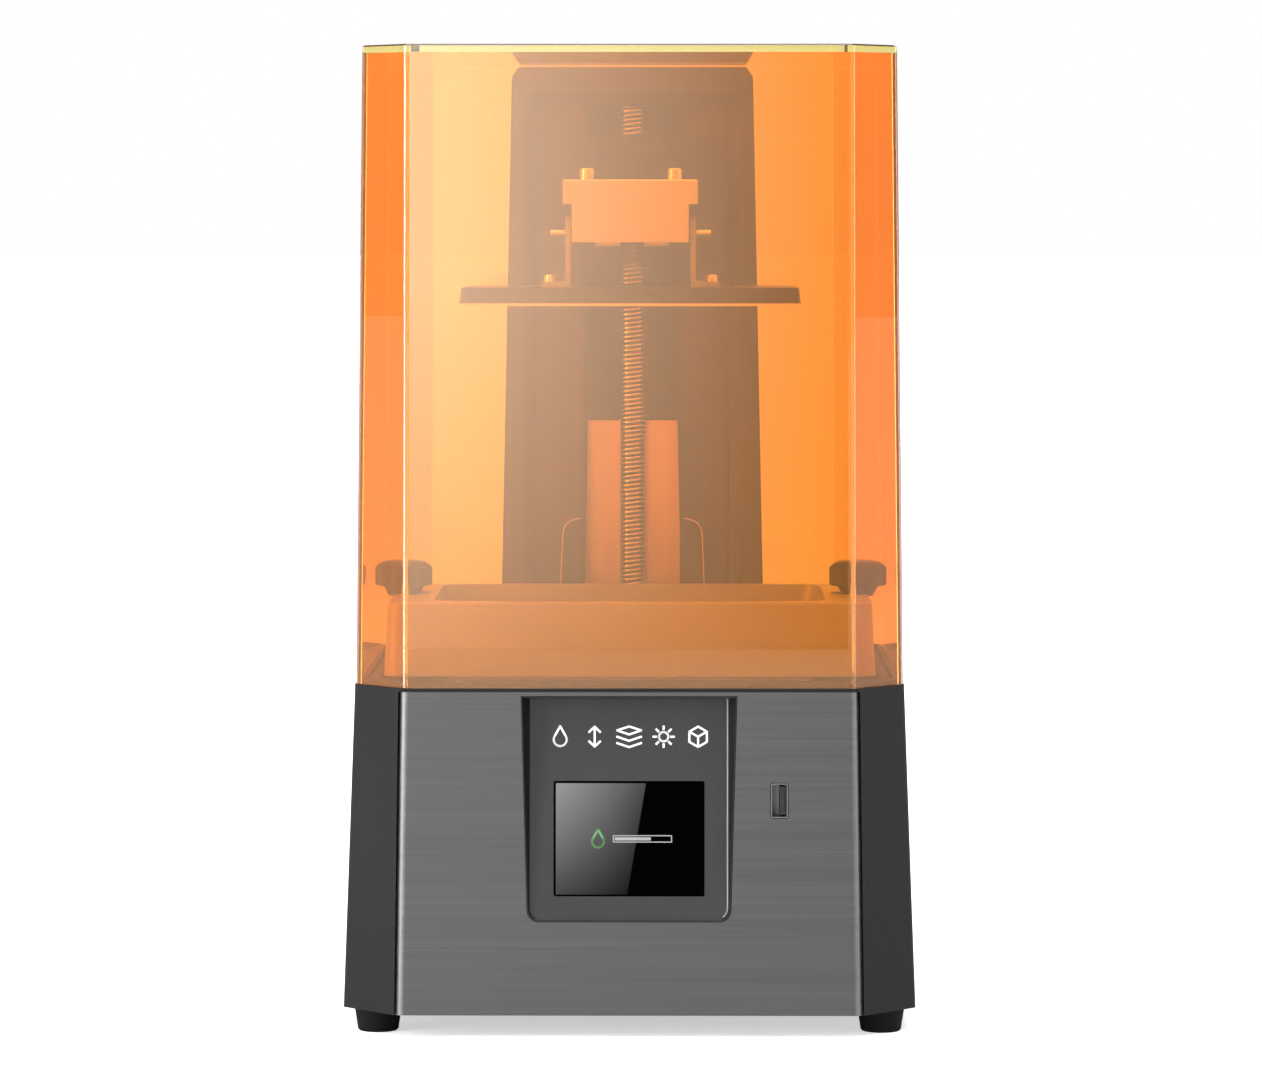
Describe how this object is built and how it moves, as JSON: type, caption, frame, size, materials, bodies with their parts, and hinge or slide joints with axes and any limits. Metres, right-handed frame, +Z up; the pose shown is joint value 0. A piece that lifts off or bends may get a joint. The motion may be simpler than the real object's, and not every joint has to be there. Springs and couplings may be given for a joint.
{
  "type": "resin printer",
  "caption": "Desktop resin 3-D printer: amber lift-off cover, brushed front with a sunken screen, vat, screw-driven build plate.",
  "frame": {"origin": "on the floor under the middle of the base, between the four feet", "axes": "+Z up, the screen and USB socket face -Y, +X is the USB socket's side"},
  "size_m": [0.238, 0.228, 0.408],
  "materials": {
    "dark_shell": "fine matte powder coat",
    "brushed_panel": "dark, brushed from side to side",
    "rubber_black": "matte",
    "steel": "plain machined",
    "bezel_plastic": "fine satin",
    "screen_glass": "glossy black",
    "black_plastic": "fine matte",
    "gloss_black_plastic": "moulded gloss",
    "glass_clear": "polished",
    "lcd_dark": "glossy",
    "white_plastic": "matte",
    "clear_plastic": "clear",
    "board_green": "solder mask",
    "board_white": "white solder mask",
    "aluminium": "bead blasted",
    "aluminium_dark": "black anodised",
    "amber_acrylic": "clear amber, polished",
    "vat_plastic": "satin grey",
    "film": "clear film",
    "column_grey": "satin grey coat",
    "guard_bright": "bright sheet",
    "chrome_rod": "ground and plated",
    "brass": "turned"
  },
  "bodies": {
    "base": {"housing": "dark_shell", "front_panel": "brushed_panel", "bottom_plate": "dark_shell", "feet": "rubber_black", "foot_screws": "steel", "display_bezel": "bezel_plastic", "touch_screen": "screen_glass", "display_module": "black_plastic", "usb_port": "steel", "usb_tongue": "black_plastic", "deck_plate": "dark_shell", "lcd_glass": "glass_clear", "lcd_panel": "lcd_dark", "lcd_frame": "black_plastic", "light_housing": "white_plastic", "collimating_lens": "clear_plastic", "uv_led_board": "board_white", "heat_sink": "aluminium", "led_fan_frame": "black_plastic", "mainboard": "board_green", "exhaust_fan_frame": "black_plastic", "exhaust_fan_screws": "steel", "power_jack": "black_plastic", "switch_frame": "black_plastic", "vat_body": "vat_plastic", "film_frame": "steel", "release_film": "film", "film_screws": "steel", "vat_rails": "rubber_black", "column_cover": "column_grey", "column_back": "column_grey", "z_frame": "aluminium_dark", "rod_clamp_top": "aluminium_dark", "top_bearing": "brass", "rod_clamp_bottom": "aluminium_dark", "guide_rods": "chrome_rod", "screw_guard": "guard_bright", "channel_skirt": "black_plastic", "z_motor": "dark_shell", "motor_bracket": "steel"},
    "cover": {"cover_shell": "amber_acrylic"},
    "screw": {"lead_screw": "steel"},
    "carriage": {"carriage_block": "aluminium_dark", "guide_bushings": "black_plastic", "lead_nut": "brass", "cantilever_arm": "aluminium", "platform_mount": "aluminium", "mount_screws": "steel", "level_screws": "steel"},
    "plate": {"plate_brackets": "steel", "build_plate": "aluminium", "flange_screws": "steel"},
    "washer_left": {"washer_left": "black_plastic"},
    "washer_right": {"washer_right": "black_plastic"},
    "knob_left": {"knob_left": "black_plastic"},
    "knob_right": {"knob_right": "black_plastic"},
    "led_fan": {"led_fan_rotor": "black_plastic"},
    "exhaust_fan": {"exhaust_fan_rotor": "black_plastic"},
    "rocker": {"power_rocker": "gloss_black_plastic"}
  },
  "joints": [
    {"name": "cover_lift", "type": "slide", "parent": "base", "child": "cover", "axis": [0, 0, 1], "range_m": [0, 0.28]},
    {"name": "screw_turn", "type": "hinge", "parent": "base", "child": "screw", "pos_m": [0, 0.074, 0.254], "axis": [0, 0, 1], "range_deg": [-900, 13680]},
    {"name": "z_slide", "type": "slide", "parent": "base", "child": "carriage", "axis": [0, 0, 1], "range_m": [-0.152, 0.01]},
    {"name": "platform_level", "type": "slide", "parent": "carriage", "child": "plate", "axis": [0, 0, 1], "range_m": [-0.0015, 0.0015]},
    {"name": "washer_rise_left", "type": "slide", "parent": "base", "child": "washer_left", "axis": [0, 0, 1], "range_m": [0, 0.006]},
    {"name": "knob_turn_left", "type": "hinge", "parent": "washer_left", "child": "knob_left", "pos_m": [-0.0964, -0.0235, 0.184], "axis": [0, 0, 1], "range_deg": [0, 2160]},
    {"name": "washer_rise_right", "type": "slide", "parent": "base", "child": "washer_right", "axis": [0, 0, 1], "range_m": [0, 0.006]},
    {"name": "knob_turn_right", "type": "hinge", "parent": "washer_right", "child": "knob_right", "pos_m": [0.0964, -0.0235, 0.184], "axis": [0, 0, 1], "range_deg": [0, 2160]},
    {"name": "led_fan_spin", "type": "hinge", "parent": "base", "child": "led_fan", "pos_m": [0, -0.0235, 0.031], "axis": [0, 0, 1], "continuous": true},
    {"name": "exhaust_fan_spin", "type": "hinge", "parent": "base", "child": "exhaust_fan", "pos_m": [-0.062, 0.10151, 0.08367], "axis": [0, 0.9994, 0.0334], "continuous": true},
    {"name": "rocker_tip", "type": "hinge", "parent": "base", "child": "rocker", "pos_m": [0.032, 0.10878, 0.06989], "axis": [1, 0, 0], "range_deg": [0, 16]}
  ],
  "couplings": [
    {"joint": "screw_turn", "follows": "z_slide", "rad_per_m": -1570.8},
    {"joint": "washer_rise_left", "follows": "knob_turn_left", "m_per_rad": 0.00015915},
    {"joint": "washer_rise_right", "follows": "knob_turn_right", "m_per_rad": 0.00015915}
  ]
}
